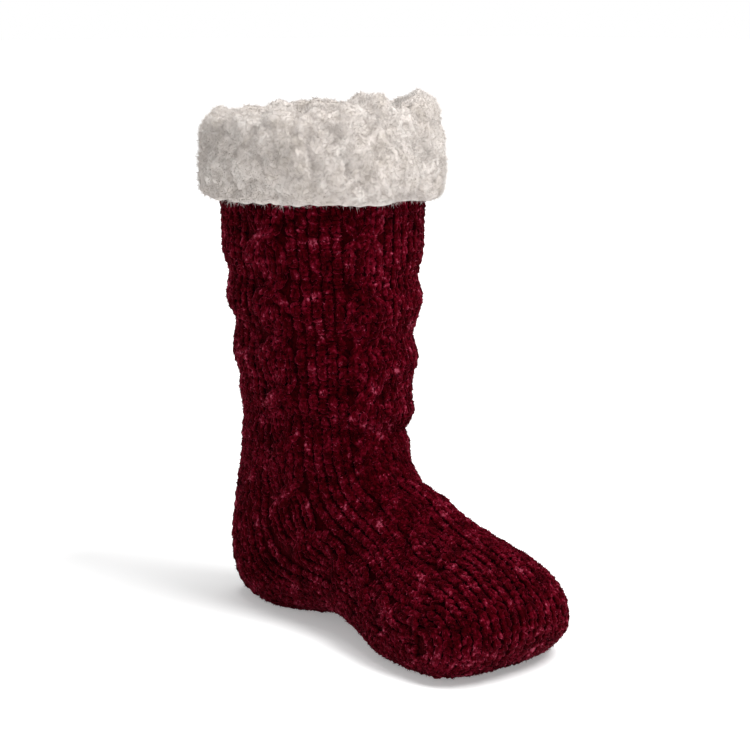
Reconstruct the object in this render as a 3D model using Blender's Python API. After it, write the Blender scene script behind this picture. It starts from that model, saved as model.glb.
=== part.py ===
# Slipper sock for a left foot: a cable-knit tube with a fleece cuff turned out over its collar.
# Metres, +Z up, toe towards -Y, outer side of the foot towards +X, origin on the floor under the heel.

import math

import bpy
import numpy as np

# Driving sizes of the knitted tube, measured over the knit. The arch's middle and reach are
# shares of the foot length, its height a share of the instep height.
FOOT_LENGTH = 0.258
HEEL_REACH = 0.038
LEG_HEIGHT = 0.300
ANKLE_HEIGHT = 0.128
COLLAR_WIDTH = 0.118
COLLAR_DEPTH = 0.130
ANKLE_WIDTH = 0.091
ANKLE_DEPTH = 0.118
HEEL_WIDTH = 0.078
BALL_WIDTH = 0.112
INSTEP_HEIGHT = 0.104
ARCH_RISE = 0.007
ARCH_MIDDLE = 0.44
ARCH_REACH = 0.14
ARCH_HEIGHT = 0.35
KNIT_WALL = 0.0035

# Driving sizes of the cuff
CUFF_HEIGHT = 0.043
CUFF_THICKNESS = 0.0085
CUFF_BULGE = 0.0025
RIM_RISE = 0.008
RIM_TILT = 0.004
RIM_HIGHEST = math.radians(50)
LINING_DEPTH = 0.040
LINING_THICKNESS = 0.005
LUMP_SIZE = 0.0165
LUMP_HEIGHT = 0.0045
LUMP_SEED = 4
LINING_LUMPS = 0.35
SEAM_WIDTH = 0.007
SEAM_DEPTH = 0.005
SEAM_ANGLE = math.radians(80)
CLEARANCE = 0.0003

# How softly the sole rounds into the floor, and how finely the rings are drawn
FLOOR_SOFTNESS = 0.002
KNIT_COLUMNS = 40
CUFF_COLUMNS = 80
TOE_RINGS = (0.28, 0.52, 0.72, 0.87, 0.965)
INNER_TOE_RINGS = (0.45, 0.8)
OUTER_STEPS = 7
RIM_STEPS = 6
LINING_STEPS = 4

# Leg, from the collar down to the ankle. Up is a share of the way from ankle to collar.
# Depth and width are shares of the growth from the ankle's to the collar's.
# Back is the calf line, a share of the foot length in front of the heel's back.
LEG_COLUMNS = ("up", "depth", "width", "back", "rings")
LEG_ROWS = (
    (1.00, 1.00, 1.00, 0.026, 2),
    (0.80, 0.99, 0.99, 0.028, 3),
    (0.60, 0.90, 0.88, 0.032, 4),
    (0.38, 0.60, 0.54, 0.042, 4),
    (0.16, 0.25, 0.18, 0.054, 3),
    (0.00, 0.00, 0.00, 0.060, 3),
)

# Heel, instep and foot. Top is a share of the way from the ankle's front to the toe's end,
# sole a share of the foot length from the heel's back. Top height is a share of the instep height,
# sole height a share of the ankle height. Width is a share of the way from heel to ball width,
# shift a share of the ball width, and belly lowers the widest place.
FOOT_COLUMNS = (
    "top_along", "top_up", "sole_along", "sole_up", "width", "shift", "belly", "square", "rings",
)
FOOT_ROWS = (
    (0.000, 1.130, 0.050, 0.720, 0.20, 0.000, 0.00, 2.05, 3),
    (0.015, 1.050, 0.018, 0.480, 0.08, 0.000, -0.02, 2.10, 3),
    (0.045, 0.985, 0.000, 0.250, 0.02, 0.004, -0.04, 2.20, 3),
    (0.085, 0.932, 0.030, 0.045, 0.00, 0.008, -0.06, 2.25, 3),
    (0.135, 0.880, 0.140, -0.042, 0.00, 0.018, -0.10, 2.30, 3),
    (0.195, 0.826, 0.280, -0.026, 0.04, 0.034, -0.16, 2.30, 3),
    (0.270, 0.768, 0.420, 0.000, 0.20, 0.042, -0.22, 2.30, 2),
    (0.365, 0.706, 0.546, -0.004, 0.56, 0.038, -0.26, 2.30, 2),
    (0.475, 0.660, 0.664, -0.034, 0.92, 0.026, -0.28, 2.30, 2),
    (0.595, 0.622, 0.780, -0.036, 0.99, 0.008, -0.28, 2.35, 2),
    (0.670, 0.600, 0.840, -0.028, 0.94, -0.006, -0.26, 2.35, 1),
)
TOE_ROUNDNESS = 2.35
TOE_LIFT = 0.10

# Soft folds and rolls. Ring counts along the rows, turn is degrees from the shin towards the outer side.
# Depth is a share of the knit wall, reach is in rows, spread in degrees, slant in rows for each 90 degrees.
FOLD_COLUMNS = ("ring", "turn", "depth", "reach", "spread", "slant")
FOLD_ROWS = (
    (2.55, 0, -0.35, 0.22, 360, 0.05),
    (2.95, 20, 0.30, 0.24, 360, -0.06),
    (3.40, -30, -0.35, 0.22, 360, 0.08),
    (3.85, 0, 0.30, 0.26, 360, 0.00),
    (4.30, 160, -0.40, 0.24, 100, 0.00),
    (4.75, -20, 0.45, 0.30, 110, 0.30),
    (5.45, -25, -0.85, 0.42, 95, 0.40),
    (6.50, -10, 0.40, 0.60, 80, 0.25),
    (9.60, 0, -0.45, 0.45, 60, 0.20),
    (11.4, 5, 0.35, 0.60, 60, 0.00),
)


def named_rows(columns, rows):
    return [dict(zip(columns, row)) for row in rows]


def leg_ring(row):
    growth_depth = COLLAR_DEPTH - ANKLE_DEPTH
    growth_width = COLLAR_WIDTH - ANKLE_WIDTH
    height = ANKLE_HEIGHT + row["up"] * (LEG_HEIGHT - ANKLE_HEIGHT)
    back = HEEL_REACH - row["back"] * FOOT_LENGTH
    front = back - (ANKLE_DEPTH + row["depth"] * growth_depth)
    width = ANKLE_WIDTH + row["width"] * growth_width
    return [front, height, back, height, width / 2, 0.0, 0.0, 2.0]


def foot_ring(row):
    ankle_front = leg_ring(LEG[-1])[0]
    toe_end = HEEL_REACH - FOOT_LENGTH
    return [
        ankle_front + row["top_along"] * (toe_end - ankle_front),
        row["top_up"] * INSTEP_HEIGHT,
        HEEL_REACH - row["sole_along"] * FOOT_LENGTH,
        row["sole_up"] * ANKLE_HEIGHT,
        (HEEL_WIDTH + row["width"] * (BALL_WIDTH - HEEL_WIDTH)) / 2,
        row["shift"] * BALL_WIDTH,
        row["belly"],
        row["square"],
    ]


LEG = named_rows(LEG_COLUMNS, LEG_ROWS)
FOOT = named_rows(FOOT_COLUMNS, FOOT_ROWS)
FOLDS = named_rows(FOLD_COLUMNS, FOLD_ROWS)
RINGS = np.array([leg_ring(row) for row in LEG] + [foot_ring(row) for row in FOOT])
LAST_RING = len(RINGS) - 1


def ring_at(place):
    """The section's eight values at a place given as a ring number with a fraction."""
    place = np.clip(place, 0.0, LAST_RING)
    first = np.minimum(place.astype(int), LAST_RING - 1)
    step = (place - first)[..., None]
    points = [RINGS[np.clip(first + k, 0, LAST_RING)] for k in (-1, 0, 1, 2)]
    pull_in = (points[2] - points[0]) / 2
    pull_out = (points[3] - points[1]) / 2
    rise = points[2] - points[1]
    square = 3 * rise - 2 * pull_in - pull_out
    cube = pull_in + pull_out - 2 * rise
    return points[1] + step * (pull_in + step * (square + step * cube))


def rounded(wave, square):
    """A cosine or sine wave pushed out towards a square with rounded corners."""
    return np.sign(wave) * np.abs(wave) ** (2 / square)


def press_on_floor(height):
    """The sole lies exactly on the floor where it would sink, with a soft edge around."""
    soft = (height + FLOOR_SOFTNESS) ** 2 / (4 * FLOOR_SOFTNESS)
    pressed = np.where(height < -FLOOR_SOFTNESS, 0.0, soft)
    return np.where(height > FLOOR_SOFTNESS, height, pressed)


def with_toe(rings, toe):
    """Past the last ring the section goes on as it was going, by a share of the way to the toe's end."""
    reach = RINGS[-1, 0] - (HEEL_REACH - FOOT_LENGTH)
    slope = (RINGS[-1] - RINGS[-2]) / (RINGS[-2, 0] - RINGS[-1, 0])
    slope[2] = slope[0]
    slope[7] = 0.0
    return rings + slope * reach * toe[..., None]


def plain_surface(turn, place):
    """The tube without its folds. Past the last ring it closes as the round toe."""
    toe = np.clip(place - LAST_RING, 0.0, 1.0)
    rings = with_toe(ring_at(place), toe)
    front_y, front_z, back_y, back_z, half, shift, belly, square = np.moveaxis(rings, -1, 0)
    shrink = np.maximum(1 - toe ** TOE_ROUNDNESS, 0.0) ** (1 / TOE_ROUNDNESS)
    low = back_z + toe ** 2 * TOE_LIFT * INSTEP_HEIGHT
    across = rounded(np.sin(turn), square)
    lengthwise = rounded(np.cos(turn), square)
    lengthwise = lengthwise + belly * (1 - lengthwise ** 2)
    x = shift + half * across * shrink
    y = (front_y + back_y) / 2 + (front_y - back_y) / 2 * lengthwise * shrink
    z = (front_z + low) / 2 + (front_z - low) / 2 * lengthwise * shrink
    along = (HEEL_REACH - y) / FOOT_LENGTH
    inner_side = 0.5 - 0.5 * np.tanh(x / (BALL_WIDTH / 6))
    near_sole = np.clip(1 - z / (INSTEP_HEIGHT * ARCH_HEIGHT), 0, 1)
    arch = ARCH_RISE * np.exp(-(((along - ARCH_MIDDLE) / ARCH_REACH) ** 2)) * inner_side * near_sole
    return np.stack([x, y, press_on_floor(z + arch)], axis=-1)


def outward(surface, turn, place):
    """Unit normals of a surface function, from small steps around and along it."""
    small = 1e-4
    around = surface(turn + small, place) - surface(turn - small, place)
    along = surface(turn, place + small) - surface(turn, place - small)
    normal = np.cross(along, around)
    return normal / np.maximum(np.linalg.norm(normal, axis=-1, keepdims=True), 1e-12)


def fold_depth(turn, place):
    total = np.zeros(np.broadcast(turn, place).shape)
    for fold in FOLDS:
        away = np.degrees(turn) - fold["turn"]
        away = (away + 180) % 360 - 180
        middle = fold["ring"] + fold["slant"] * away / 90
        window = np.exp(-((away / fold["spread"]) ** 2))
        total = total + fold["depth"] * window * np.exp(-(((place - middle) / fold["reach"]) ** 2))
    return total * KNIT_WALL


def knit_surface(turn, place):
    """The knit's outer face, folds and all."""
    plain = plain_surface(turn, place)
    out = outward(plain_surface, turn, place) * fold_depth(turn, place)[..., None]
    folded = plain + out
    folded[..., 2] = np.where(plain[..., 2] <= 0.0, 0.0, np.maximum(folded[..., 2], 0.0))
    return folded


def lining_surface(turn, place):
    """The knit's inner face, one wall inside the outer one."""
    return knit_surface(turn, place) - KNIT_WALL * outward(knit_surface, turn, place)


def sock_grid(surface, places, columns):
    turns = np.arange(columns) * 2 * math.pi / columns
    turn, place = np.meshgrid(turns, np.array(places))
    return surface(turn, place)


def mesh_object(name, points, faces, material):
    mesh = bpy.data.meshes.new(name)
    mesh.from_pydata([tuple(point) for point in points], [], faces)
    mesh.materials.append(material)
    mesh.validate()
    mesh.shade_smooth()
    made = bpy.data.objects.new(name, mesh)
    bpy.context.collection.objects.link(made)
    return made


def band(first, second, columns, flip=False):
    """Quads between two rings of points, given by the number of each ring's first point."""
    quads = []
    for i in range(columns):
        j = (i + 1) % columns
        quad = (first + i, second + i, second + j, first + j)
        quads.append(quad[::-1] if flip else quad)
    return quads


def make_material(name, colour, roughness):
    material = bpy.data.materials.new(name)
    material.use_nodes = True
    shader = material.node_tree.nodes["Principled BSDF"]
    shader.inputs["Base Color"].default_value = (*colour, 1.0)
    shader.inputs["Roughness"].default_value = roughness
    shader.inputs["Metallic"].default_value = 0.0
    return material


def outer_places():
    places = []
    for number, row in enumerate(LEG + FOOT):
        places += [number + step / row["rings"] for step in range(row["rings"])]
    return [place for place in places if place <= LAST_RING] + [LAST_RING + toe for toe in TOE_RINGS]


def inner_places():
    places = [step / 2 for step in range(2 * LAST_RING + 1)]
    return places + [LAST_RING + toe for toe in INNER_TOE_RINGS]


def levels_between(places, low, high):
    """The heights of the knit's own rings between two heights, so that faces lie side by side."""
    heights = ring_at(np.array([place for place in places if place < len(LEG)], dtype=float))[:, 1]
    return [float(height) for height in heights if low + CUFF_THICKNESS / 4 < height < high]


def make_knit():
    """One closed solid: outer face, collar edge and inner face, open only at the collar."""
    outer = sock_grid(knit_surface, outer_places(), KNIT_COLUMNS)
    inner = sock_grid(lining_surface, inner_places(), KNIT_COLUMNS)
    tip = knit_surface(np.array([0.0]), np.array([LAST_RING + 1.0]))[0]
    inner_tip = tip + np.array([0.0, KNIT_WALL, 0.0])
    points = np.concatenate([outer.reshape(-1, 3), [tip], inner.reshape(-1, 3), [inner_tip]])
    tip_at = outer.shape[0] * KNIT_COLUMNS
    inner_from = tip_at + 1
    inner_tip_at = len(points) - 1
    faces = band(inner_from, 0, KNIT_COLUMNS)
    for ring in range(outer.shape[0] - 1):
        faces += band(ring * KNIT_COLUMNS, (ring + 1) * KNIT_COLUMNS, KNIT_COLUMNS)
    for ring in range(inner.shape[0] - 1):
        start = inner_from + ring * KNIT_COLUMNS
        faces += band(start, start + KNIT_COLUMNS, KNIT_COLUMNS, flip=True)
    for i in range(KNIT_COLUMNS):
        j = (i + 1) % KNIT_COLUMNS
        faces.append((tip_at - KNIT_COLUMNS + j, tip_at - KNIT_COLUMNS + i, tip_at))
        faces.append((inner_tip_at - KNIT_COLUMNS + i, inner_tip_at - KNIT_COLUMNS + j, inner_tip_at))
    yarn = make_material("wine_chenille", (0.10, 0.004, 0.014), 0.85)
    return mesh_object("knit_upper", points, faces, yarn)


def collar_place(height):
    """The ring number of a height on the leg, found on the leg's own smooth curve."""
    places = np.linspace(0, len(LEG), 400)
    heights = ring_at(places)[:, 1]
    return np.interp(height, heights[::-1], places[::-1])


def cuff_point(turn, height, out):
    """A point level with a height on the leg, this far out from the knit's outer face."""
    place = collar_place(np.minimum(height, LEG_HEIGHT))
    base = knit_surface(turn, place)
    normal = outward(plain_surface, turn, place)
    normal[..., 2] = 0.0
    normal /= np.linalg.norm(normal, axis=-1, keepdims=True)
    point = base + normal * out[..., None]
    point[..., 2] = height
    return point


def lumps(turn, run):
    """Rounded locks of fleece side by side, 0 between them and 1 on top of one."""
    chance = np.random.RandomState(LUMP_SEED)
    girth = math.pi * (COLLAR_WIDTH + COLLAR_DEPTH) / 2
    count = round(girth / LUMP_SIZE)
    highest = np.zeros(np.broadcast(turn, run).shape)
    for row in range(math.ceil(np.max(run) / LUMP_SIZE) + 1):
        for step in range(count):
            aside, above, size = chance.uniform(-1, 1, 3)
            middle = (step + 0.5 * (row % 2) + 0.25 * aside) * 2 * math.pi / count
            level = (row + 0.22 * above) * LUMP_SIZE
            away = (turn - middle + math.pi) % (2 * math.pi) - math.pi
            distance = np.hypot(away * girth / (2 * math.pi), run - level) / (LUMP_SIZE * 0.48)
            highest = np.maximum(highest, (0.8 + 0.2 * size) * np.exp(-(distance ** 2)))
    return highest


def cuff_profile():
    """One turn around the cuff's section: height, distance out from the knit, share of lumps."""
    hem = LEG_HEIGHT - CUFF_HEIGHT
    foot = LEG_HEIGHT - LINING_DEPTH
    inside = -(KNIT_WALL + CLEARANCE)
    top = LEG_HEIGHT + CLEARANCE
    corner = CUFF_THICKNESS / 2
    profile = []
    for step in range(1, OUTER_STEPS + 1):
        share = step / OUTER_STEPS
        bulge = CUFF_BULGE * math.sin(math.pi * share ** 0.7)
        profile.append((hem + corner + share * (CUFF_HEIGHT - corner), CUFF_THICKNESS + bulge, 1.0))
    middle = (CUFF_THICKNESS + inside - LINING_THICKNESS) / 2
    reach = CUFF_THICKNESS - middle
    for step in range(1, RIM_STEPS):
        angle = math.pi * step / RIM_STEPS
        profile.append((top + RIM_RISE * math.sin(angle), middle + reach * math.cos(angle), 1.0))
    for step in range(LINING_STEPS):
        level = LEG_HEIGHT + (foot - LEG_HEIGHT) * step / LINING_STEPS
        profile.append((level, inside - LINING_THICKNESS, LINING_LUMPS))
    profile.append((foot, inside - LINING_THICKNESS / 2, 0.0))
    for level in [foot] + levels_between(inner_places(), foot, LEG_HEIGHT)[::-1] + [top]:
        profile.append((level, inside, 0.0))
    for level in [top] + levels_between(outer_places(), hem, LEG_HEIGHT) + [hem]:
        profile.append((level, CLEARANCE, 0.0))
    profile.append((hem - corner / 3, corner, 0.5))
    profile.append((hem, CUFF_THICKNESS - corner / 3, 1.0))
    return profile


def make_cuff():
    """A hooked band: outer fleece, over the collar's edge, and down inside as its lining."""
    profile = np.array(cuff_profile())
    turns = np.arange(CUFF_COLUMNS) * 2 * math.pi / CUFF_COLUMNS
    steps = np.diff(profile[:, :2], axis=0, prepend=profile[:1, :2])
    runs = np.cumsum(np.hypot(steps[:, 0], steps[:, 1]))
    turn, height = np.meshgrid(turns, profile[:, 0])
    out = np.repeat(profile[:, 1:2], CUFF_COLUMNS, axis=1)
    run = np.repeat(runs[:, None], CUFF_COLUMNS, axis=1)
    weight = np.repeat(profile[:, 2:], CUFF_COLUMNS, axis=1)
    seam_away = (turn - SEAM_ANGLE + math.pi) % (2 * math.pi) - math.pi
    seam = np.exp(-((seam_away * COLLAR_DEPTH / 2 / SEAM_WIDTH) ** 2))
    relief = weight * (LUMP_HEIGHT * lumps(turn, run) - SEAM_DEPTH * seam)
    side = np.where(out > -KNIT_WALL / 2, 1.0, -1.0)
    over_rim = np.clip((height - LEG_HEIGHT - CLEARANCE) / RIM_RISE, 0, 1)
    tilt = RIM_TILT * np.cos(turn - RIM_HIGHEST) * over_rim
    points = cuff_point(turn, height + tilt + relief * over_rim, out + relief * side * (1 - over_rim))
    rows = len(profile)
    faces = []
    for row in range(rows):
        faces += band(row * CUFF_COLUMNS, (row + 1) % rows * CUFF_COLUMNS, CUFF_COLUMNS, flip=True)
    fleece = make_material("cream_fleece", (0.80, 0.74, 0.66), 0.95)
    return mesh_object("sherpa_cuff", points.reshape(-1, 3), faces, fleece)


for old in list(bpy.data.objects):
    bpy.data.objects.remove(old, do_unlink=True)
make_knit()
make_cuff()
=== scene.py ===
# Slipper sock for a left foot: chenille cable knit, a fleece cuff turned out over its collar, a lining.
# Metres, +Z up, toe towards -Y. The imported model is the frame, and every piece here stands in its place.
import math
import bpy
import numpy as np
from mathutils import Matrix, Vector


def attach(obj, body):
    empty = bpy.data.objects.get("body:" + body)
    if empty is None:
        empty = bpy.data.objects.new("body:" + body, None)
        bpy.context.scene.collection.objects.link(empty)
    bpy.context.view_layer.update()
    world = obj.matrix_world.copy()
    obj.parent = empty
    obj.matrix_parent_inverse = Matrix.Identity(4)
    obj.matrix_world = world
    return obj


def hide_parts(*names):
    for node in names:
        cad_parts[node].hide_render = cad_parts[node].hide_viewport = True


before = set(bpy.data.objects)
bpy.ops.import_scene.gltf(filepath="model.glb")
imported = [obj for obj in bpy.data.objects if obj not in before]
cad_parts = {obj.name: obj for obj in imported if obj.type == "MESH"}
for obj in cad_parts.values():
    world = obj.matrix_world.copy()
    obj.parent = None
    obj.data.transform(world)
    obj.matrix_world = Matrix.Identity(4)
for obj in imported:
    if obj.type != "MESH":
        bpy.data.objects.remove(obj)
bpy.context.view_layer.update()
print("frame loaded")

# the tube's sizes and sections, as the solid has them
sock = {
    "footLength": 0.258, "heelReach": 0.038, "legHeight": 0.300, "ankleHeight": 0.128,
    "collarWidth": 0.118, "collarDepth": 0.130, "ankleWidth": 0.091, "ankleDepth": 0.118,
    "heelWidth": 0.078, "ballWidth": 0.112, "instepHeight": 0.104,
    "archRise": 0.007, "archMiddle": 0.44, "archReach": 0.14, "archHeight": 0.35, "archBlend": 6,
    "toeRoundness": 2.35, "toeLift": 0.10, "wall": 0.0035, "floorSoftness": 0.002,
}
toeEnd = sock["heelReach"] - sock["footLength"]
legRows = (  # up, depth, width, back
    (1.00, 1.00, 1.00, 0.026), (0.80, 0.99, 0.99, 0.028), (0.60, 0.90, 0.88, 0.032),
    (0.38, 0.60, 0.54, 0.042), (0.16, 0.25, 0.18, 0.054), (0.00, 0.00, 0.00, 0.060),
)
footRows = (  # top along, top up, sole along, sole up, width, shift, belly, square
    (0.000, 1.130, 0.050, 0.720, 0.20, 0.000, 0.00, 2.05),
    (0.015, 1.050, 0.018, 0.480, 0.08, 0.000, -0.02, 2.10),
    (0.045, 0.985, 0.000, 0.250, 0.02, 0.004, -0.04, 2.20),
    (0.085, 0.932, 0.030, 0.045, 0.00, 0.008, -0.06, 2.25),
    (0.135, 0.880, 0.140, -0.042, 0.00, 0.018, -0.10, 2.30),
    (0.195, 0.826, 0.280, -0.026, 0.04, 0.034, -0.16, 2.30),
    (0.270, 0.768, 0.420, 0.000, 0.20, 0.042, -0.22, 2.30),
    (0.365, 0.706, 0.546, -0.004, 0.56, 0.038, -0.26, 2.30),
    (0.475, 0.660, 0.664, -0.034, 0.92, 0.026, -0.28, 2.30),
    (0.595, 0.622, 0.780, -0.036, 0.99, 0.008, -0.28, 2.35),
    (0.670, 0.600, 0.840, -0.028, 0.94, -0.006, -0.26, 2.35),
)
# soft troughs and ridges: ring, turn in degrees from the shin, depth in metres, reach in rings,
# spread in degrees, and how many rings further down a crease lies a quarter turn away
creases = (
    (2.55, 0, -0.0020, 0.22, 360, 0.05), (2.95, 20, 0.0019, 0.24, 360, -0.06),
    (3.40, -30, -0.0026, 0.20, 360, 0.08), (3.85, 0, 0.0018, 0.26, 360, 0.00),
    (4.30, 160, -0.0020, 0.24, 100, 0.00), (4.75, -20, 0.0024, 0.30, 110, 0.30),
    (5.45, -25, -0.0026, 0.45, 95, 0.40), (6.50, -10, 0.0016, 0.60, 80, 0.25),
    (5.05, -110, -0.0016, 0.20, 35, -0.30), (6.10, 70, -0.0018, 0.22, 40, 0.50),
    (4.05, -60, -0.0012, 0.12, 30, 0.25), (2.20, -100, 0.0012, 0.20, 40, 0.00),
    (7.60, -40, -0.0012, 0.30, 45, 0.40), (9.60, 0, -0.0018, 0.45, 60, 0.20),
    (11.4, 5, 0.0014, 0.60, 60, 0.00), (13.2, -40, -0.0010, 0.50, 35, 0.50),
)


def legRing(row):
    up, depth, width, back = row
    height = sock["ankleHeight"] + up * (sock["legHeight"] - sock["ankleHeight"])
    backY = sock["heelReach"] - back * sock["footLength"]
    frontY = backY - (sock["ankleDepth"] + depth * (sock["collarDepth"] - sock["ankleDepth"]))
    wide = sock["ankleWidth"] + width * (sock["collarWidth"] - sock["ankleWidth"])
    return [frontY, height, backY, height, wide / 2, 0, 0, 2]


def footRing(row):
    topAlong, topUp, soleAlong, soleUp, width, shift, belly, square = row
    ankleFront = legRing(legRows[-1])[0]
    wide = sock["heelWidth"] + width * (sock["ballWidth"] - sock["heelWidth"])
    return [ankleFront + topAlong * (toeEnd - ankleFront), topUp * sock["instepHeight"],
            sock["heelReach"] - soleAlong * sock["footLength"], soleUp * sock["ankleHeight"],
            wide / 2, shift * sock["ballWidth"], belly, square]


rings = np.array([legRing(row) for row in legRows] + [footRing(row) for row in footRows])
lastRing = len(rings) - 1


def degreesFrom(middle, turn):
    return (np.degrees(turn) - middle + 180) % 360 - 180


def turnsRound(first, columns):
    return first + np.arange(columns + 1) / columns * 2 * np.pi


def ringAt(place):
    # a smooth curve through the sections
    place = np.clip(place, 0, lastRing)
    first = np.minimum(place.astype(int), lastRing - 1)
    step = (place - first)[..., None]
    before, here, after, beyond = [rings[np.clip(first + k, 0, lastRing)] for k in (-1, 0, 1, 2)]
    pullIn = (after - before) / 2
    pullOut = (beyond - here) / 2
    square = 3 * (after - here) - 2 * pullIn - pullOut
    cube = pullIn + pullOut - 2 * (after - here)
    return here + step * (pullIn + step * (square + step * cube))


def rounded(wave, square):
    # a sine or cosine pushed out towards a square with round corners
    return np.sign(wave) * np.abs(wave) ** (2 / square)


def pressOnFloor(height):
    # flat where the sole would sink, with a soft edge around
    soft = sock["floorSoftness"]
    pressed = np.where(height < -soft, 0, (height + soft) ** 2 / (4 * soft))
    return np.where(height > soft, height, pressed)


def toeParts(place):
    # past the last ring: share of the way to the toe's end, and how far the section has closed
    toe = np.clip(place - lastRing, 0, 1)
    return toe, np.maximum(1 - toe ** sock["toeRoundness"], 0) ** (1 / sock["toeRoundness"])


def plainTube(turn, place):
    toe, shrink = toeParts(place)
    slope = (rings[-1] - rings[-2]) / (rings[-2, 0] - rings[-1, 0])
    slope[2] = slope[0]  # back and front close in step
    slope[7] = 0  # the squareness stays
    parts = ringAt(place) + slope * (rings[-1, 0] - toeEnd) * toe[..., None]
    frontY, frontZ, backY, backZ, half, shift, belly, square = np.moveaxis(parts, -1, 0)
    low = backZ + toe ** 2 * sock["toeLift"] * sock["instepHeight"]
    lengthwise = rounded(np.cos(turn), square)
    lengthwise = lengthwise + belly * (1 - lengthwise ** 2)
    x = shift + half * rounded(np.sin(turn), square) * shrink
    y = (frontY + backY) / 2 + (frontY - backY) / 2 * lengthwise * shrink
    z = (frontZ + low) / 2 + (frontZ - low) / 2 * lengthwise * shrink
    along = (sock["heelReach"] - y) / sock["footLength"]
    innerSide = 0.5 - 0.5 * np.tanh(x / (sock["ballWidth"] / sock["archBlend"]))
    nearSole = np.clip(1 - z / (sock["instepHeight"] * sock["archHeight"]), 0, 1)
    arch = np.exp(-((along - sock["archMiddle"]) / sock["archReach"]) ** 2) * innerSide * nearSole
    return np.stack([x, y, pressOnFloor(z + sock["archRise"] * arch)], axis=-1)


def outwardOf(surface, turn, place):
    small = 1e-4
    around = surface(turn + small, place) - surface(turn - small, place)
    along = surface(turn, place + small) - surface(turn, place - small)
    normal = np.cross(along, around)
    return normal / np.maximum(np.linalg.norm(normal, axis=-1, keepdims=True), 1e-12)


def creasedTube(turn, place):
    depth = np.zeros(turn.shape)
    for ring, middle, deep, reach, spread, slant in creases:
        away = degreesFrom(middle, turn)
        across = (place - ring - slant * np.sin(np.radians(away))) / reach
        depth += deep * np.exp(-(away / spread) ** 2 - across ** 2)
    plain = plainTube(turn, place)
    out = plain + outwardOf(plainTube, turn, place) * depth[..., None]
    out[..., 2] = np.where(plain[..., 2] <= 0, 0, np.maximum(out[..., 2], 0))
    return out


def smooth(low, high, value):
    share = np.clip((value - low) / (high - low), 0, 1)
    return share * share * (3 - 2 * share)


def evenPlaces(count):
    # ring places the same distance apart on the average wale
    places = np.linspace(0, lastRing + 1, 900)
    turn, place = np.meshgrid(np.linspace(0, 2 * np.pi, 24, endpoint=False), places)
    gaps = np.linalg.norm(np.diff(plainTube(turn, place), axis=0), axis=-1).mean(axis=1)
    run = np.concatenate([[0], np.cumsum(gaps)])
    return np.interp(np.linspace(0, run[-1], count), run, places)


def readSpots(piece):
    spots = np.zeros(len(piece.data.vertices) * 3)
    piece.data.vertices.foreach_get("co", spots)
    return spots.reshape(-1, 3)


def writeSpots(piece, spots):
    piece.data.vertices.foreach_set("co", spots.ravel())
    piece.data.update()


def addObject(name, data):
    made = bpy.data.objects.new(name, data)
    bpy.context.scene.collection.objects.link(made)
    return made


def flatUv(across, along):
    return np.stack(np.meshgrid(across, along), axis=-1)


# one wrapping for every skin: a flat grid whose columns go round and whose rows go along
def wrapGrid(name, points, uv):
    rows, columns = points.shape[0] - 1, points.shape[1] - 1
    bpy.ops.object.select_all(action="DESELECT")
    bpy.ops.mesh.primitive_grid_add(x_subdivisions=columns, y_subdivisions=rows, size=2)
    skin = bpy.context.active_object
    skin.name = name
    skin.data.name = name
    flat = readSpots(skin)
    column = np.rint((flat[:, 0] + 1) / 2 * columns).astype(int)
    row = np.rint((flat[:, 1] + 1) / 2 * rows).astype(int)
    writeSpots(skin, points[row, column])
    corners = np.zeros(len(skin.data.loops), int)
    skin.data.loops.foreach_get("vertex_index", corners)
    skin.data.uv_layers[0].data.foreach_set("uv", uv[row, column][corners].ravel())
    return skin, row


def giveAttribute(piece, name, values):
    made = piece.data.attributes.new(name, "FLOAT", "POINT")
    made.data.foreach_set("value", np.ascontiguousarray(values, np.float32))


def giveGroup(piece, name, values):
    group = piece.vertex_groups.new(name=name)
    for index in np.nonzero(values > 0)[0]:
        group.add([int(index)], float(values[index]), "REPLACE")


def closeSkin(skin):
    bpy.ops.object.mode_set(mode="EDIT")
    bpy.ops.mesh.select_all(action="SELECT")
    bpy.ops.mesh.remove_doubles(threshold=1e-6)
    bpy.ops.mesh.dissolve_degenerate(threshold=1e-7)
    bpy.ops.mesh.normals_make_consistent(inside=False)
    bpy.ops.object.mode_set(mode="OBJECT")
    bpy.ops.object.shade_smooth()


def applyOn(piece, change):
    bpy.ops.object.select_all(action="DESELECT")
    piece.select_set(True)
    bpy.context.view_layer.objects.active = piece
    bpy.ops.object.modifier_apply(modifier=change.name)


def ruffle(skin, group, kind, size, strength, middle=0.5, metric=None):
    texture = bpy.data.textures.new(skin.name + kind.title(), kind)
    texture.noise_scale = size
    if metric:
        texture.distance_metric = metric
    change = skin.modifiers.new("ruffle", "DISPLACE")
    change.texture = texture
    change.texture_coords = "LOCAL"
    change.strength = strength
    change.mid_level = middle
    change.vertex_group = group
    applyOn(skin, change)


def settle(skin):
    # nothing goes below the floor
    spots = readSpots(skin)
    spots[:, 2] = np.maximum(spots[:, 2], 0)
    writeSpots(skin, spots)


# knit chart: what each panel is and how many wales it takes, going round from its first turn
knit = {
    "wales": 56, "firstTurn": -96.4, "cableRepeat": 0.032, "firstCrossing": 0.095,
    "columns": 168, "rows": 120, "innerRows": 24, "backOff": 0.0019, "cableSwell": 0.0010,
    "toeFrom": 0.066, "toeTo": 0.044, "toeBow": 0.25, "tipFrom": 0.985, "poleDeep": 0.004, "uvRow": 0.6,
}
panels = (
    ("moss", 1), ("cable", 4), ("moss", 5), ("cable", 4), ("moss", 1), ("rib", 8),
    ("moss", 1), ("cable", 4), ("moss", 5), ("cable", 4), ("moss", 1), ("rib", 18),
)


def toeShare(points):
    # the toe's wales run lengthwise over the tip instead of meeting there
    ahead = points[..., 1] + knit["toeBow"] * np.abs(points[..., 0])
    return smooth(toeEnd + knit["toeFrom"], toeEnd + knit["toeTo"], ahead)


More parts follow.
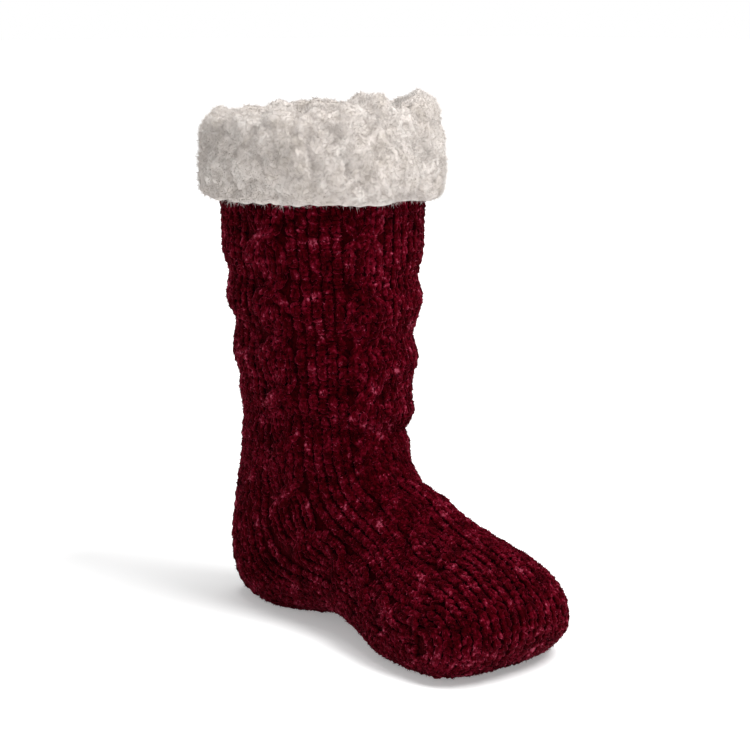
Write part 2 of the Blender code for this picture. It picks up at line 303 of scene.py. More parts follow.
def panelSwell(turn):
    # the backing rises under each cable
    wale = (np.degrees(turn) - knit["firstTurn"]) / 360 * knit["wales"] % knit["wales"]
    swell = np.zeros(turn.shape)
    start = 0
    for kind, count in panels:
        across = (wale - start) / count * 2 - 1
        if kind == "cable":
            swell += knit["cableSwell"] * np.maximum(1 - across ** 2, 0)
        start += count
    return swell


def makeKnit():
    turns = turnsRound(math.radians(knit["firstTurn"]), knit["columns"])
    turn, place = np.meshgrid(turns, evenPlaces(knit["rows"]))
    plain = creasedTube(turn, place)
    normal = outwardOf(creasedTube, turn, place)
    tip = smooth(lastRing + 1, lastRing + knit["tipFrom"], place)
    normal[-1] = (0, -1, 0)
    swell = panelSwell(turn) * (1 - toeShare(plain)) * tip
    outer = plain + normal * (swell - knit["backOff"])[..., None]
    outer[-1] = outer[-1].mean(axis=0)
    innerPlaces = evenPlaces(knit["innerRows"] + 2)[:-1][::-1]
    innerTurn, innerPlace = np.meshgrid(turns, innerPlaces)
    inner = creasedTube(innerTurn, innerPlace) - sock["wall"] * outwardOf(creasedTube, innerTurn, innerPlace)
    pole = np.repeat(inner[:1].mean(axis=1, keepdims=True), len(turns), axis=1)
    pole[..., 1] -= knit["poleDeep"]
    points = np.concatenate([pole, inner, outer])
    points[:, -1] = points[:, 0]
    wale = (turns - turns[0]) / (2 * np.pi) * knit["wales"]
    skin = wrapGrid("knitShell", points, flatUv(wale, np.arange(len(points)) * knit["uvRow"]))[0]
    closeSkin(skin)
    return skin


# stitches: two plump legs of yarn to a wale, course after course, and crosswise bars for the purls
stitch = {
    "courses": 100, "thick": 0.0035, "overlap": 1.65, "vee": 14, "tuck": 0.11, "barLong": 0.0062,
    "ribApart": 0.15, "mossApart": 0.17, "cableApart": 0.19, "ribAt": -0.0011, "mossAt": -0.0014,
    "cableAt": 0.0001, "cableFall": 0.0012, "crossLift": 0.0013, "crossSharp": 2, "strandReach": 0.25,
    "walePace": 0.97, "barShift": 0.25, "barLift": 0.0003, "barThick": 0.86, "underCuff": 0.006,
    "toeWales": 48, "toeStart": 12.4, "toeCourse": 0.0051, "toeApart": 0.14, "toeAt": -0.0010,
    "toeSide": 0.47, "toeLast": 0.9995, "looseLean": 0.18, "looseBar": 0.15, "courseLong": (0.0035, 0.0085),
    "thickRange": (0.84, 1.12), "longRange": (0.92, 1.1), "untidy": 0.00026, "ruffle": (0.0040, 0.0008),
    "footBelow": 0.118, "seed": 5,
}


def stitchLine(turn, place, height, side, bars):
    # one line of legs along a wale: their spots, outward ways, sides, and which are bars
    normal = outwardOf(creasedTube, turn, place)
    return creasedTube(turn, place) + normal * height[:, None], normal, np.full(len(turn), side), bars


def bodyLines():
    places = evenPlaces(stitch["courses"])[:-1]
    pace = np.gradient(places)
    course = np.arange(len(places))
    start = 0
    for kind, count in panels:
        middle = math.radians(knit["firstTurn"] + (start + count / 2) / knit["wales"] * 360)
        steps = np.linalg.norm(np.diff(creasedTube(np.full(len(places), middle), places), axis=0), axis=-1)
        run = np.concatenate([[0], np.cumsum(steps)])
        phase = np.pi * ((run - knit["firstCrossing"]) / knit["cableRepeat"] + 0.5)
        for index in range(count):
            for side in (-1, 1):
                wale = np.full(len(run), start + index + 0.5 + side * stitch[kind + "Apart"])
                height = np.full(len(run), stitch["ribAt"])
                bars = np.zeros(len(run), bool)
                shift = np.zeros(len(run))
                if kind == "cable":
                    strand = 1 if index >= count / 2 else -1
                    own = (index % (count // 2) - (count // 2 - 1) / 2) * stitch["walePace"]
                    own += side * stitch["cableApart"]
                    swing = np.tanh(stitch["crossSharp"] * np.cos(phase)) / math.tanh(stitch["crossSharp"])
                    wale = start + count / 2 + strand * stitch["strandReach"] * count * swing + own
                    height = stitch["cableAt"] - stitch["cableFall"] * own ** 2
                    height = height + strand * stitch["crossLift"] * np.sin(phase)
                if kind == "moss":
                    bars = (course + index) % 2 == 1
                    wale = np.where(bars, start + index + 0.5, wale)
                    shift = np.where(bars, side * stitch["barShift"], 0) * pace
                    height = np.where(bars, stitch["mossAt"] + stitch["barLift"], stitch["mossAt"])
                turn = np.radians(knit["firstTurn"] + wale / knit["wales"] * 360)
                yield stitchLine(turn, places + shift, height, side, bars)
        start += count


def toeLines():
    most = sock["toeRoundness"]
    for index in range(-stitch["toeWales"] // 4, stitch["toeWales"] // 4):
        for side in (-1, 1):
            across = 2 * math.pi * (index + 0.5 + side * stitch["toeApart"]) / stitch["toeWales"]
            if abs(across) > stitch["toeSide"] * math.pi:
                continue
            reach = abs(math.sin(across))
            last = math.acos(min(reach ** (most / 2), 1))
            dome = lastRing + rounded(np.sin(np.linspace(0, last, 90)), most)
            place = np.concatenate([np.linspace(stitch["toeStart"], lastRing, 60), dome[1:]])
            closing = np.maximum(toeParts(place)[1], reach)
            top = np.arcsin(np.clip((reach / closing) ** (most / 2), 0, 1)) * np.sign(across)
            turn = np.concatenate([top, np.sign(across) * np.pi - top[::-1]])
            place = np.concatenate([place, place[::-1]])
            spots = creasedTube(turn, place)
            run = np.concatenate([[0], np.cumsum(np.linalg.norm(np.diff(spots, axis=0), axis=-1))])
            at = np.arange(0, run[-1], stitch["toeCourse"])
            turn = np.interp(at, run, turn)
            place = np.minimum(np.interp(at, run, place), lastRing + stitch["toeLast"])
            height = np.full(len(at), stitch["toeAt"])
            yield stitchLine(turn, place, height, side, np.zeros(len(at), bool))


def gatherStitches():
    hem = sock["legHeight"] - cuff["height"] + stitch["underCuff"]
    found = []
    for lines, onToe in ((bodyLines(), False), (toeLines(), True)):
        for spots, normal, side, bars in lines:
            ahead = np.gradient(spots, axis=0)
            wanted = ((toeShare(spots) > 0.5) == onToe) & (spots[:, 2] < hem)
            found.append(np.column_stack([spots, normal, ahead, side, bars])[wanted])
    return np.concatenate(found)


def layStitches(found):
    # where each leg lies, which way it points and how big it is
    chance = np.random.default_rng(stitch["seed"])
    spots, out, ahead = found[:, :3], found[:, 3:6], found[:, 6:9]
    side, bars = found[:, 9], found[:, 10] > 0
    course = np.linalg.norm(ahead, axis=1)
    ahead = ahead / course[:, None]
    across = np.cross(out, ahead)
    lean = np.radians(stitch["vee"]) * side + chance.normal(0, stitch["looseLean"], len(side))
    point = ahead * np.cos(lean)[:, None] + across * np.sin(lean)[:, None] + out * stitch["tuck"]
    barWay = across + ahead * chance.normal(0, stitch["looseBar"], len(side))[:, None]
    point = np.where(bars[:, None], barWay, point)
    point /= np.linalg.norm(point, axis=1, keepdims=True)
    up = out - point * np.sum(out * point, axis=1, keepdims=True)
    up /= np.linalg.norm(up, axis=1, keepdims=True)
    right = np.cross(up, point)
    euler = np.stack([
        np.arctan2(up[:, 2], point[:, 2]),
        -np.arcsin(np.clip(right[:, 2], -1, 1)),
        np.arctan2(right[:, 1], right[:, 0]),
    ], axis=1)
    half = np.where(bars, stitch["barLong"], np.clip(course, *stitch["courseLong"]) * stitch["overlap"]) / 2
    thick = stitch["thick"] / 2 * np.where(bars, stitch["barThick"], 1)
    thick = thick * chance.uniform(*stitch["thickRange"], len(side))
    size = np.stack([thick, thick, half * chance.uniform(*stitch["longRange"], len(side))], axis=1)
    return spots + chance.normal(0, stitch["untidy"], spots.shape), euler, size


# one leg of yarn, a unit long each way from its middle, thinner at its lower end; its outer side is hairy,
# and it carries painted shade: darker on its side towards the fabric, lighter on its outer side
yarn = {
    "sides": 6, "bands": 3, "wide": 1.06, "flare": 0.14,
    "reliefAt": 0.5, "reliefGain": 0.6, "hairyFrom": -0.2,
}


def makeYarnLeg():
    bpy.ops.object.select_all(action="DESELECT")
    bpy.ops.mesh.primitive_uv_sphere_add(segments=yarn["sides"], ring_count=yarn["bands"], radius=1)
    leg = bpy.context.active_object
    leg.name = "yarnLeg"
    spots = readSpots(leg)
    spots[:, :2] *= yarn["wide"] + yarn["flare"] * spots[:, 2:3]
    writeSpots(leg, spots)
    # painted shade and light: low towards the fabric, where the material darkens the yarn, high on the outer
    # side, where it lightens it
    giveAttribute(leg, "relief", np.clip(yarn["reliefAt"] + yarn["reliefGain"] * spots[:, 1], 0, 1))
    giveAttribute(leg, "hairy", spots[:, 1] > yarn["hairyFrom"])
    bpy.ops.object.shade_smooth()
    return leg


# nodes, for geometry and materials alike
def setInputs(node, values):
    for key, value in values.items():
        node.inputs[key].default_value = value


def addNode(tree, kind, values=None, **settings):
    made = tree.nodes.new(kind)
    for key, value in settings.items():
        setattr(made, key, value)
    setInputs(made, values or {})
    return made


# copies by nodes: legs of yarn stand on the points of a guide, spikes of pile are sown over a skin
sown = {"small": 0.6, "large": 1.25, "proud": 0.35}


def startTree(name):
    tree = bpy.data.node_groups.new(name, "GeometryNodeTree")
    for way in ("INPUT", "OUTPUT"):
        tree.interface.new_socket("Geometry", in_out=way, socket_type="NodeSocketGeometry")
    return tree, addNode(tree, "NodeGroupInput").outputs[0], addNode(tree, "GeometryNodeInstanceOnPoints")


def finishTree(tree, points, placed, shape, seed):
    # each copy keeps a random tone of its own
    copied = addNode(tree, "GeometryNodeObjectInfo", {"Object": shape})
    tone = addNode(tree, "FunctionNodeRandomValue", {"Seed": seed + 3})
    kept = addNode(tree, "GeometryNodeStoreNamedAttribute", {"Name": "tone"},
                   domain="INSTANCE", data_type="FLOAT")
    real = addNode(tree, "GeometryNodeRealizeInstances")
    end = addNode(tree, "NodeGroupOutput")
    for out, into in (
        (points, placed.inputs["Points"]), (copied.outputs["Geometry"], placed.inputs["Instance"]),
        (placed.outputs["Instances"], kept.inputs["Geometry"]), (tone.outputs[1], kept.inputs["Value"]),
        (kept.outputs["Geometry"], real.inputs["Geometry"]), (real.outputs["Geometry"], end.inputs[0]),
    ):
        tree.links.new(out, into)


def layTree(shape):
    tree, given, placed = startTree("layStitches")
    lay, size = [
        addNode(tree, "GeometryNodeInputNamedAttribute", {"Name": name}, data_type="FLOAT_VECTOR")
        for name in ("lay", "size")
    ]
    euler = addNode(tree, "FunctionNodeEulerToRotation")
    tree.links.new(lay.outputs["Attribute"], euler.inputs["Euler"])
    tree.links.new(euler.outputs["Rotation"], placed.inputs["Rotation"])
    tree.links.new(size.outputs["Attribute"], placed.inputs["Scale"])
    finishTree(tree, given, placed, shape, stitch["seed"])
    return tree


def sowTree(name, spike, where, settings):
    tree, given, placed = startTree(name)
    most, seed = settings["lean"], settings["seed"]
    mask = addNode(tree, "GeometryNodeInputNamedAttribute", {"Name": where}, data_type="FLOAT")
    chosen = addNode(tree, "FunctionNodeCompare", {1: 0.5}, data_type="FLOAT", operation="GREATER_THAN")
    points = addNode(tree, "GeometryNodeDistributePointsOnFaces",
                     {"Density": settings["perSquareMetre"], "Seed": seed})
    lean = addNode(tree, "FunctionNodeRandomValue", data_type="FLOAT_VECTOR")
    setInputs(lean, {0: (-most, -most, 0), 1: (most, most, 2 * math.pi), "Seed": seed + 1})
    euler = addNode(tree, "FunctionNodeEulerToRotation")
    turned = addNode(tree, "FunctionNodeRotateRotation", rotation_space="LOCAL")
    size = addNode(tree, "FunctionNodeRandomValue", {2: sown["small"], 3: sown["large"], "Seed": seed + 2})
    for out, into in (
        (given, points.inputs["Mesh"]), (mask.outputs["Attribute"], chosen.inputs[0]),
        (chosen.outputs["Result"], points.inputs["Selection"]), (lean.outputs[0], euler.inputs["Euler"]),
        (points.outputs["Rotation"], turned.inputs["Rotation"]),
        (euler.outputs["Rotation"], turned.inputs["Rotate By"]),
        (turned.outputs["Rotation"], placed.inputs["Rotation"]), (size.outputs[1], placed.inputs["Scale"]),
    ):
        tree.links.new(out, into)
    finishTree(tree, points.outputs["Points"], placed, spike, seed)
    return tree


def makeStitches(name, found, yarnLeg):
    spots, euler, size = layStitches(found)
    data = bpy.data.meshes.new(name)
    data.vertices.add(len(spots))
    data.vertices.foreach_set("co", spots.ravel())
    for key, values in (("lay", euler), ("size", size)):
        made = data.attributes.new(key, "FLOAT_VECTOR", "POINT")
        made.data.foreach_set("vector", np.ascontiguousarray(values, np.float32).ravel())
    piece = addObject(name, data)
    change = piece.modifiers.new("lay", "NODES")
    change.node_group = layTree(yarnLeg)
    applyOn(piece, change)
    giveGroup(piece, "yarn", np.ones(len(piece.data.vertices)))
    ruffle(piece, "yarn", "CLOUDS", *stitch["ruffle"])
    settle(piece)
    print(name, len(spots), "stitches,", len(piece.data.polygons), "faces")
    return piece


def makeSpike(name, thick, long):
    bpy.ops.object.select_all(action="DESELECT")
    bpy.ops.mesh.primitive_cone_add(vertices=3, radius1=thick, radius2=0, depth=long)
    bpy.ops.transform.translate(value=(0, 0, long * sown["proud"]))
    spike = bpy.context.active_object
    spike.name = name
    bpy.ops.object.transform_apply(location=True, rotation=True, scale=True)
    bpy.ops.object.shade_smooth()
    return spike


def sow(name, skin, where, settings):
    spike = makeSpike(name + "Spike", settings["thick"], settings["long"])
    piece = addObject(name, skin.data.copy())
    piece.data.name = name
    change = piece.modifiers.new("sow", "NODES")
    change.node_group = sowTree(name, spike, where, settings)
    applyOn(piece, change)
    bpy.data.objects.remove(spike)
    settle(piece)
    print(name, len(piece.data.polygons), "faces")
    return piece


# fleece cuff: a hook over the collar's edge, drawn as one closed section
cuff = {
    "height": 0.043, "thick": 0.0085, "bulge": 0.0030, "rimRise": 0.008, "rimTilt": 0.0045, "rimHighest": 50,
    "liningDepth": 0.040, "liningThick": 0.005, "clear": 0.0003, "columns": 470, "rows": 180,
    "seamAt": 13, "seamWide": 0.0050, "seamDeep": 0.0050, "seamOverRim": 0.6, "hemLift": 0.0002,
    "hemReach": 0.85, "faceFrom": 0.06, "bulgeLow": 0.7, "liningLumps": 0.6, "liningFade": 0.3,
    "seatPace": 0.12, "hairyOver": 0.25, "baldRows": 5,
}
cuffLumps = (  # texture, size, strength, middle, metric
    ("VORONOI", 0.0150, -0.0048, 0.35, "DISTANCE_SQUARED"),
    ("CLOUDS", 0.0095, 0.0048), ("CLOUDS", 0.0042, 0.0011), ("CLOUDS", 0.0020, 0.0003),
)
# tufts along the rim: turn in degrees, rise in metres, spread in degrees
tufts = (
    (-45, 0.0028, 5), (-29, 0.0030, 6), (-11, 0.0084, 7), (3, -0.0024, 6), (17, 0.0056, 8), (38, 0.0046, 8),
    (62, 0.0050, 8), (88, 0.0022, 8), (112, 0.0056, 8), (140, 0.0026, 7), (163, 0.0034, 8), (-172, 0.0016, 8),
    (-148, 0.0030, 7), (-120, 0.0018, 9), (-92, 0.0026, 7), (-66, 0.0012, 8),
)


def cuffSection():
    # height above the collar and distance out from the knit, once round, and the share of lumps
    hem = -cuff["height"]
    inside = -(sock["wall"] + cuff["clear"])
    middle = (cuff["thick"] + inside - cuff["liningThick"]) / 2
    reach = cuff["thick"] - middle
    corner = cuff["thick"] / 2
    section = [(hem + cuff["hemLift"], corner, 0.2), (hem, cuff["thick"] * cuff["hemReach"], 0.6)]
    for share in np.linspace(cuff["faceFrom"], 1, 12):
        swell = cuff["bulge"] * math.sin(math.pi * share ** cuff["bulgeLow"])
        section.append((hem + share * cuff["height"], cuff["thick"] + swell, 1.0))
    for angle in np.linspace(0, math.pi, 10)[1:-1]:
        rise = cuff["clear"] + cuff["rimRise"] * math.sin(angle)
        section.append((rise, middle + reach * math.cos(angle), 1.0))
    for share in np.linspace(0, 1, 8):
        lumpy = cuff["liningLumps"] - cuff["liningFade"] * share
        section.append((-share * cuff["liningDepth"], inside - cuff["liningThick"], lumpy))
    section += [
        (-cuff["liningDepth"], inside - cuff["liningThick"] / 2, 0.0), (-cuff["liningDepth"], inside, 0.0),
        (cuff["clear"], inside, 0.0), (cuff["clear"], cuff["clear"], 0.0), (hem, cuff["clear"], 0.0),
        section[0],
    ]
    return np.array(section)


def collarPlace(height):
    # the ring place of a height on the leg
    places = np.linspace(0, len(legRows), 400)
    return np.interp(height, ringAt(places)[::-1, 1], places[::-1])


def makeCuff():
    section = cuffSection()
    steps = np.linalg.norm(np.diff(section[:, :2], axis=0), axis=1)
    seated = section[1:, 2] + section[:-1, 2] == 0  # few rows where it lies on the knit
    pace = np.where(seated, steps * cuff["seatPace"], steps)
    travelled = np.concatenate([[0], np.cumsum(pace)])
    at = np.linspace(0, travelled[-1], cuff["rows"] + 1)
    up, out, lumpy = [np.interp(at, travelled, section[:, k]) for k in range(3)]
    turns = turnsRound(math.radians(cuff["seamAt"] + 180), cuff["columns"])
    turn, height = np.meshgrid(turns, sock["legHeight"] + up)
    place = collarPlace(np.minimum(height, sock["legHeight"]))
    normal = outwardOf(plainTube, turn, place)
    normal[..., 2] = 0
    normal /= np.linalg.norm(normal, axis=-1, keepdims=True)
    away = np.radians(degreesFrom(cuff["seamAt"], turn)) * sock["collarDepth"] / 2
    seam = np.exp(-(away / cuff["seamWide"]) ** 2)
    far = out[:, None] - cuff["seamDeep"] * seam * lumpy[:, None] * np.sign(out[:, None] + 0.001)
    points = creasedTube(turn, place) + normal * far[..., None]
    overRim = np.clip((height - sock["legHeight"] - cuff["clear"]) / cuff["rimRise"], 0, 1)
    rise = cuff["rimTilt"] * np.cos(turn - math.radians(cuff["rimHighest"]))
    rise = rise - cuff["seamDeep"] * cuff["seamOverRim"] * seam
    for middle, tall, spread in tufts:
        rise = rise + tall * np.exp(-(degreesFrom(middle, turn) / spread) ** 2)
    points[..., 2] = height + rise * overRim
    points[:, -1] = points[:, 0]
    points[-1] = points[0]
    girth = np.pi * (sock["collarWidth"] + sock["collarDepth"]) / 2
    skin, row = wrapGrid("fleeceCuff", points, flatUv((turns - turns[0]) / (2 * np.pi) * girth, at))
    giveGroup(skin, "fleece", lumpy[row])
    giveAttribute(skin, "hairy", (lumpy[row] > cuff["hairyOver"]) * (row > cuff["baldRows"]))
    closeSkin(skin)
    for lump in cuffLumps:
        ruffle(skin, "fleece", *lump)
    return skin


# lining: the fleece's other face, inside the knit from under the cuff to the toe
lining = {
    "gap": 0.0008, "thick": 0.0038, "columns": 190, "rows": 140, "backRows": 70,
    "from": 0.0415, "toeGap": 0.03, "uvStep": 0.002,
}
liningLumps = (("VORONOI", 0.0115, -0.0042, 0.35, "DISTANCE_SQUARED"), ("CLOUDS", 0.0050, 0.0016))


def liningWall(rows, deep):
    first = collarPlace(sock["legHeight"] - lining["from"])
    last = lastRing + 1 - lining["toeGap"]
    even = evenPlaces(rows) / (lastRing + 1)
    turn, place = np.meshgrid(turnsRound(0, lining["columns"]), first + even * (last - first))
    return creasedTube(turn, place) - outwardOf(creasedTube, turn, place) * deep


def makeLining():
    back = liningWall(lining["backRows"], sock["wall"] + lining["gap"])
    face = liningWall(lining["rows"], sock["wall"] + lining["gap"] + lining["thick"])
    tips = [np.repeat(wall[-1:].mean(axis=1, keepdims=True), wall.shape[1], axis=1) for wall in (face, back)]
    points = np.concatenate([tips[0], face[::-1], back, tips[1]])
    points[:, -1] = points[:, 0]
    lumpy = np.concatenate([[0], np.ones(len(face)), np.zeros(len(back) + 1)])
    uv = flatUv(np.arange(points.shape[1]), np.arange(len(points))) * lining["uvStep"]
    skin, row = wrapGrid("fleeceLining", points, uv)
    giveGroup(skin, "fleece", lumpy[row])
    closeSkin(skin)
    for lump in liningLumps:
        ruffle(skin, "fleece", *lump)
    settle(skin)
    return skin


# materials
def newMaterial(name):
    material = bpy.data.materials.new(name)
    material.use_nodes = True
    tree = material.node_tree
    return material, tree, tree.nodes["Principled BSDF"]


def addRamp(tree, factor, stops):
    ramp = addNode(tree, "ShaderNodeValToRGB")
    while len(ramp.color_ramp.elements) < len(stops):
        ramp.color_ramp.elements.new(0.5)
    for element, (at, colour) in zip(ramp.color_ramp.elements, stops):
        element.position = at
        element.color = (*colour, 1)
    tree.links.new(factor, ramp.inputs["Fac"])
    return ramp.outputs["Color"]


def addMath(tree, operation, first, second):
    made = addNode(tree, "ShaderNodeMath", operation=operation)
    for socket, value in zip(made.inputs, (first, second)):
        if isinstance(value, (int, float)):
            socket.default_value = value
        else:
            tree.links.new(value, socket)
    return made.outputs["Value"]


def addNoise(tree, vector, scale, detail, rough):
    made = addNode(tree, "ShaderNodeTexNoise", {"Scale": scale, "Detail": detail, "Roughness": rough})
    tree.links.new(vector, made.inputs["Vector"])
    return made.outputs["Fac"]


def giveBump(tree, shader, height, strength, distance):
    bump = addNode(tree, "ShaderNodeBump", {"Strength": strength, "Distance": distance})
    tree.links.new(height, bump.inputs["Height"])
    tree.links.new(bump.outputs["Normal"], shader.inputs["Normal"])


def stretched(tree, value, low, high, to=(0, 1)):
    limits = {"From Min": low, "From Max": high, "To Min": to[0], "To Max": to[1]}
    made = addNode(tree, "ShaderNodeMapRange", limits, clamp=True)
    tree.links.new(value, made.inputs["Value"])
    return made.outputs["Result"]


# wine tones of dyed chenille: flecks of light pile, partly random tone and partly painted light on the bumps'
# tops, over gaps darkened by painted shade, and painted light on what stands proud
wineFlecks = (  # scale, detail, roughness, weight
    (520, 1.0, 0.5, 0.60), (190, 2.0, 0.6, 0.85), (75, 2.0, 0.6, 0.80),
)
wineTone = {
    "middle": 1.15, "relief": 0.22, "dark": -0.25, "light": 0.65, "rough": (0.95, 0.60), "coarseHigh": 0.8,
}
# dark end for the painted shade in the gaps, light end for the flecks and the painted light on what stands
# proud
wineStops = (
    (0.00, (0.009, 0.0000, 0.0003)), (0.34, (0.028, 0.0000, 0.0009)), (0.58, (0.062, 0.0003, 0.0032)),
    (0.80, (0.130, 0.0045, 0.0150)), (1.00, (0.360, 0.0600, 0.1000)),
)
wineLook = {
    "Sheen Weight": 0.20, "Sheen Roughness": 0.35, "Sheen Tint": (1.0, 0.05, 0.15, 1),
    "Specular IOR Level": 0.04, "Specular Tint": (1.0, 0.20, 0.35, 1),
}
wineBump = (0.9, 0.0012)


def wineGroup():
    group = bpy.data.node_groups.new("wineTones", "ShaderNodeTree")
    for name, value in (("ReliefShade", 0.5), ("Spread", 1.0), ("Lift", 0.0)):
        socket = group.interface.new_socket(name, in_out="INPUT", socket_type="NodeSocketFloat")
        socket.default_value = value
    for name, kind in (("Colour", "Color"), ("Roughness", "Float"), ("Height", "Float")):
        group.interface.new_socket(name, in_out="OUTPUT", socket_type="NodeSocket" + kind)
    given = group.nodes.new("NodeGroupInput")
    made = group.nodes.new("NodeGroupOutput")
    where = addNode(group, "ShaderNodeTexCoord").outputs["Object"]
    # two of these noises also make the bump's height, so the lighter flecks sit on the bumps' tops as painted
    # light
    noises = [addNoise(group, where, *fleck[:3]) for fleck in wineFlecks]
    weighed = [addMath(group, "MULTIPLY", noise, fleck[3]) for noise, fleck in zip(noises, wineFlecks)]
    fleck = addMath(group, "ADD", addMath(group, "ADD", weighed[0], weighed[1]), weighed[2])
    fleck = addMath(group, "SUBTRACT", fleck, wineTone["middle"])
    fleck = addMath(group, "MULTIPLY", fleck, given.outputs["Spread"])
    # painted shade in the gaps between stitches, painted light on what stands proud
    relief = addMath(group, "MULTIPLY", given.outputs["ReliefShade"], wineTone["relief"])
    fleck = addMath(group, "ADD", addMath(group, "ADD", fleck, relief), given.outputs["Lift"])
    tone = stretched(group, fleck, wineTone["dark"], wineTone["light"])
    group.links.new(addRamp(group, tone, wineStops), made.inputs["Colour"])
    group.links.new(stretched(group, tone, 0, 1, wineTone["rough"]), made.inputs["Roughness"])
    height = addMath(group, "ADD", noises[0], addMath(group, "MULTIPLY", noises[1], wineTone["coarseHigh"]))
    group.links.new(height, made.inputs["Height"])
    return group


def chenilleMaterial(name, group, spread, lift, toneWeight):
    material, tree, shader = newMaterial(name)
    # the yarn's painted shade and light, read from its mesh
    relief = addNode(tree, "ShaderNodeAttribute", attribute_name="relief").outputs["Fac"]
    tones = addNode(tree, "ShaderNodeGroup", node_tree=group)
    tones.inputs["Spread"].default_value = spread
    tree.links.new(relief, tones.inputs["ReliefShade"])
    if toneWeight:
        own = addNode(tree, "ShaderNodeAttribute", attribute_name="tone").outputs["Fac"]
        ownLift = stretched(tree, own, 0, 1, (lift - toneWeight / 2, lift + toneWeight / 2))
        tree.links.new(ownLift, tones.inputs["Lift"])
    else:
        tones.inputs["Lift"].default_value = lift
    tree.links.new(tones.outputs["Colour"], shader.inputs["Base Color"])
    tree.links.new(tones.outputs["Roughness"], shader.inputs["Roughness"])
    setInputs(shader, wineLook)
    giveBump(tree, shader, tones.outputs["Height"], *wineBump)
    return material


# cream fleece: curls and wider clouds of a warmer and a cooler white
fleeceNoises = ((170, 3.0, 0.5), (45, 2.0, 0.5))  # scale, detail, roughness
fleeceTone = {"share": 0.5, "dark": 0.34, "light": 0.66}
fleeceStops = ((0.0, (0.55, 0.50, 0.455)), (0.5, (0.595, 0.545, 0.51)), (1.0, (0.64, 0.60, 0.565)))
fleeceLook = {"Roughness": 0.95, "Sheen Weight": 0.25, "Sheen Roughness": 0.6, "Specular IOR Level": 0.12}
fleeceBump = (0.20, 0.0014)


def fleeceMaterial():
    material, tree, shader = newMaterial("creamFleece")
    where = addNode(tree, "ShaderNodeTexCoord").outputs["Object"]
    curls, wide = [addNoise(tree, where, *noise) for noise in fleeceNoises]
    shares = [addMath(tree, "MULTIPLY", noise, fleeceTone["share"]) for noise in (curls, wide)]
    tone = stretched(tree, addMath(tree, "ADD", *shares), fleeceTone["dark"], fleeceTone["light"])
    tree.links.new(addRamp(tree, tone, fleeceStops), shader.inputs["Base Color"])
    setInputs(shader, fleeceLook)
    giveBump(tree, shader, curls, *fleeceBump)
    return material


def dress(piece, material, slot, *nodes):
    piece.data.materials.clear()
    piece.data.materials.append(material)
    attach(piece, "root")
    if nodes:
        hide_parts(*nodes)


wine = wineGroup()
# copies of one chenille: the backing, seen in the gaps between stitches, is darker as painted shade; the pile
# on the outer side is lighter as painted light
backing = chenilleMaterial("wineBackingShaded", wine, spread=0.8, lift=-0.06, toneWeight=0)
chenille = chenilleMaterial("wineChenille", wine, spread=1.3, lift=0.01, toneWeight=0.14)
litChenillePile = chenilleMaterial("winePileLit", wine, spread=1.0, lift=0.08, toneWeight=0.56)
fleece = fleeceMaterial()
knitShell = makeKnit()
dress(knitShell, backing, "wine_chenille", "knit_upper")
print("knit wrapped:", len(knitShell.data.polygons), "faces")

# stitches in two lots, leg and foot, each with its pile: short spikes over the yarn, leaning every way
pile = {"thick": 0.00034, "long": 0.0019, "lean": 1.15, "perSquareMetre": 200000, "seed": 3}
yarnLeg = makeYarnLeg()
found = gatherStitches()
onFoot = found[:, 2] < stitch["footBelow"]
for name, chosen in (("leg", ~onFoot), ("foot", onFoot)):
    stitches = makeStitches(name + "Stitches", found[chosen], yarnLeg)
    dress(stitches, chenille, "wine_chenille", "knit_upper")
    dress(sow(name + "Pile", stitches, "hairy", pile), litChenillePile, "wine_chenille", "knit_upper")
bpy.data.objects.remove(yarnLeg)

fleeceCuff = makeCuff()
dress(fleeceCuff, fleece, "cream_fleece", "sherpa_cuff")
print("cuff wrapped:", len(fleeceCuff.data.polygons), "faces")

# fibres: long fine spikes lying nearly flat on the fleece
fibres = {"thick": 0.00017, "long": 0.0054, "lean": 1.5, "perSquareMetre": 880000, "seed": 21}
fleeceFibres = sow("fleeceFibres", fleeceCuff, "hairy", fibres)
dress(fleeceFibres, fleece, "cream_fleece", "sherpa_cuff")

fleeceLining = makeLining()
dress(fleeceLining, fleece, "cream_fleece")
print("lining wrapped:", len(fleeceLining.data.polygons), "faces")


# studio: a pale floor that glows white further out, a soft key from the front and above, a faint fill
# from the left, a light from straight above, and the photograph's angle to the sock
studio = {
    "azimuth": -40, "distance": 1.18, "height": 0.36, "legAxis": (0.0, -0.035), "lens": 94.0, "sensor": 36,
    "aim": (0.004, -0.078, 0.152), "lit": (0, -0.05, 0.15), "floorSize": 60.0, "worldLight": 0.32,
    "glowNear": 0.28, "glowFar": 1.1, "glowFrom": 0.35, "glowTo": 2.2,
    "floorLook": {
        "Base Color": (0.86, 0.86, 0.86, 1), "Emission Color": (1, 1, 1, 1), "Roughness": 0.8,
        "Specular IOR Level": 0.1,
    },
    "lights": (  # name, place, size, watts
        ("keyRight", (0.4, -1.6, 2.5), 1.4, 84),
        ("fillLeft", (-2.0, -0.8, 1.3), 1.8, 5),
        ("topBack", (0.1, 0.0, 2.7), 1.6, 34),
    ),
}


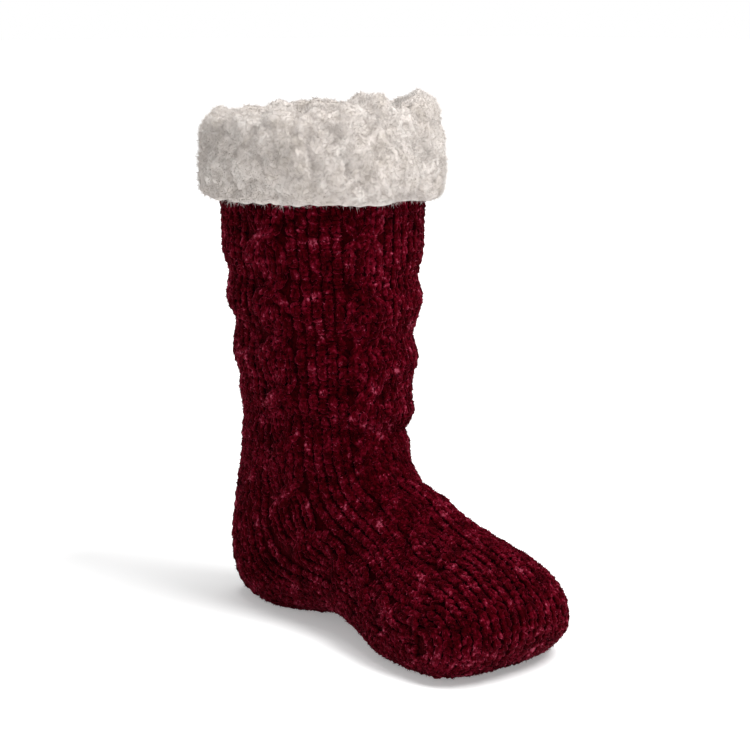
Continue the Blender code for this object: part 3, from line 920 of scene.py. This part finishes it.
def makeFloor():
    bpy.ops.object.select_all(action="DESELECT")
    bpy.ops.mesh.primitive_grid_add(x_subdivisions=8, y_subdivisions=8, size=studio["floorSize"])
    floor = bpy.context.active_object
    floor.name = "paleFloor"
    material, tree, shader = newMaterial("paleFloor")
    setInputs(shader, studio["floorLook"])
    where = addNode(tree, "ShaderNodeTexCoord").outputs["Object"]
    far = addNode(tree, "ShaderNodeVectorMath", operation="LENGTH")
    tree.links.new(where, far.inputs[0])
    strength = (studio["glowNear"], studio["glowFar"])
    glow = stretched(tree, far.outputs["Value"], studio["glowFrom"], studio["glowTo"], strength)
    tree.links.new(glow, shader.inputs["Emission Strength"])
    floor.data.materials.append(material)


def makeLights():
    for name, place, size, watts in studio["lights"]:
        light = bpy.data.lights.new(name, "AREA")
        light.shape = "DISK"
        light.size = size
        light.energy = watts
        lamp = addObject(name, light)
        lamp.location = place
        lamp.rotation_euler = (Vector(studio["lit"]) - Vector(place)).to_track_quat("-Z", "Y").to_euler()
    world = bpy.data.worlds.new("studio")
    world.use_nodes = True
    tree = world.node_tree
    sky = tree.nodes["Background"]
    sky.inputs["Color"].default_value = (1, 1, 1, 1)
    seen = addNode(tree, "ShaderNodeLightPath").outputs["Is Camera Ray"]
    extra = addMath(tree, "MULTIPLY", seen, 1 - studio["worldLight"])
    tree.links.new(addMath(tree, "ADD", extra, studio["worldLight"]), sky.inputs["Strength"])
    bpy.context.scene.world = world


def makeCamera():
    lens = bpy.data.cameras.new("camera")
    lens.lens = studio["lens"]
    lens.sensor_width = studio["sensor"]
    camera = addObject("camera", lens)
    turn = math.radians(studio["azimuth"])
    axis = studio["legAxis"]
    camera.location = (
        axis[0] + math.sin(turn) * studio["distance"],
        axis[1] - math.cos(turn) * studio["distance"],
        studio["height"],
    )
    look = Vector(studio["aim"]) - camera.location
    camera.rotation_euler = look.to_track_quat("-Z", "Y").to_euler()
    bpy.context.scene.camera = camera


makeFloor()
makeLights()
makeCamera()
bpy.context.scene.view_settings.view_transform = "Standard"
print("studio set")
